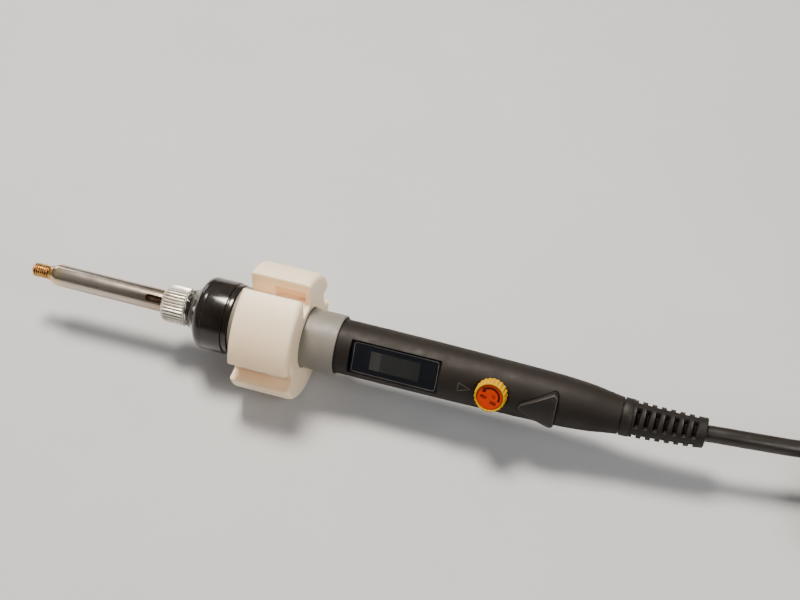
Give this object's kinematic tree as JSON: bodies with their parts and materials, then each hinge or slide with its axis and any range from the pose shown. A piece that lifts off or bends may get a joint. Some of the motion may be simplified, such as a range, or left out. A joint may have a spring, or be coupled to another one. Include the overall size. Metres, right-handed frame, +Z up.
{
  "type": "soldering iron",
  "caption": "Mains soldering iron with a built-in thermostat: pen-like handle, knurled-nut tip sleeve, keyed mounting collar and a free cord with its plug.",
  "frame": {"origin": "on the supporting surface, under the middle of the iron without its cord", "axes": "+Z up, tip towards -X, cord towards +X, display and controls towards -Y and up"},
  "size_m": [0.4765, 0.0546, 0.045],
  "materials": {
    "handle_shell": "matte black moulding",
    "front_body": "satin warm grey",
    "heat_shield": "glossy black phenolic",
    "mounting_collar": "white printed plastic, slightly translucent",
    "threaded_neck": "bright plating",
    "heater_element": "unglazed ceramic",
    "heater_holder": "unglazed ceramic",
    "circuit_board": "solder resist",
    "lcd_module": "dark display",
    "display_lens": "glossy black window",
    "potentiometer_body": "pressed can",
    "tactile_switch": "moulded",
    "film_capacitor": "dipped",
    "triac": "moulded",
    "controller_chip": "moulded",
    "fuse": "ceramic tube",
    "heater_wire_a": "insulated wire",
    "heater_wire_b": "insulated wire",
    "mains_wire_a": "insulated wire",
    "mains_wire_b": "insulated wire",
    "strain_relief": "satin black",
    "power_cord": "satin black jacket",
    "cord_coil": "satin black jacket",
    "cord_tail": "satin black jacket",
    "coil_tie": "hook-and-loop strap",
    "plug_body": "moulded black",
    "plug_pin_a": "nickel plating",
    "plug_pin_b": "nickel plating",
    "knob": "yellow moulding",
    "knob_dial": "orange-red disc",
    "pot_shaft": "moulded",
    "power_button": "matte black moulding",
    "switch_plunger": "moulded",
    "tip_sleeve": "polished steel",
    "soldering_tip": "bright with heat tint",
    "tip_nut": "nickel plating, knurled"
  },
  "bodies": {
    "handle": {"handle_shell": "handle_shell", "front_body": "front_body", "heat_shield": "heat_shield", "mounting_collar": "mounting_collar", "threaded_neck": "threaded_neck", "heater_element": "heater_element", "heater_holder": "heater_holder", "circuit_board": "circuit_board", "lcd_module": "lcd_module", "display_lens": "display_lens", "potentiometer_body": "potentiometer_body", "tactile_switch": "tactile_switch", "film_capacitor": "film_capacitor", "triac": "triac", "controller_chip": "controller_chip", "fuse": "fuse", "heater_wire_a": "heater_wire_a", "heater_wire_b": "heater_wire_b", "mains_wire_a": "mains_wire_a", "mains_wire_b": "mains_wire_b", "strain_relief": "strain_relief", "power_cord": "power_cord", "cord_coil": "cord_coil", "cord_tail": "cord_tail", "coil_tie": "coil_tie", "plug_body": "plug_body", "plug_pin_a": "plug_pin_a", "plug_pin_b": "plug_pin_b"},
    "dial_knob": {"knob": "knob", "knob_dial": "knob_dial", "pot_shaft": "pot_shaft"},
    "button": {"power_button": "power_button", "switch_plunger": "switch_plunger"},
    "sleeve": {"tip_sleeve": "tip_sleeve", "soldering_tip": "soldering_tip"},
    "nut": {"tip_nut": "tip_nut"}
  },
  "joints": [
    {"name": "knob_turn", "type": "hinge", "parent": "handle", "child": "dial_knob", "pos_m": [0.0513, 0, 0.0226], "axis": [0, -0.829, 0.5592], "range_deg": [-260, 10]},
    {"name": "button_press", "type": "slide", "parent": "handle", "child": "button", "axis": [0, 0.9336, -0.3584], "range_m": [0, 0.0006], "stiffness_N_per_m": 1200, "springref_m": -0.0006},
    {"name": "sleeve_slide", "type": "slide", "parent": "handle", "child": "sleeve", "axis": [-1, 0, 0], "range_m": [0, 0.003]},
    {"name": "nut_turn", "type": "hinge", "parent": "sleeve", "child": "nut", "pos_m": [-0.0652, 0, 0.0226], "axis": [-1, 0, 0], "range_deg": [0, 1080]}
  ],
  "couplings": [
    {"joint": "nut_turn", "follows": "sleeve_slide", "rad_per_m": 6283.2}
  ]
}
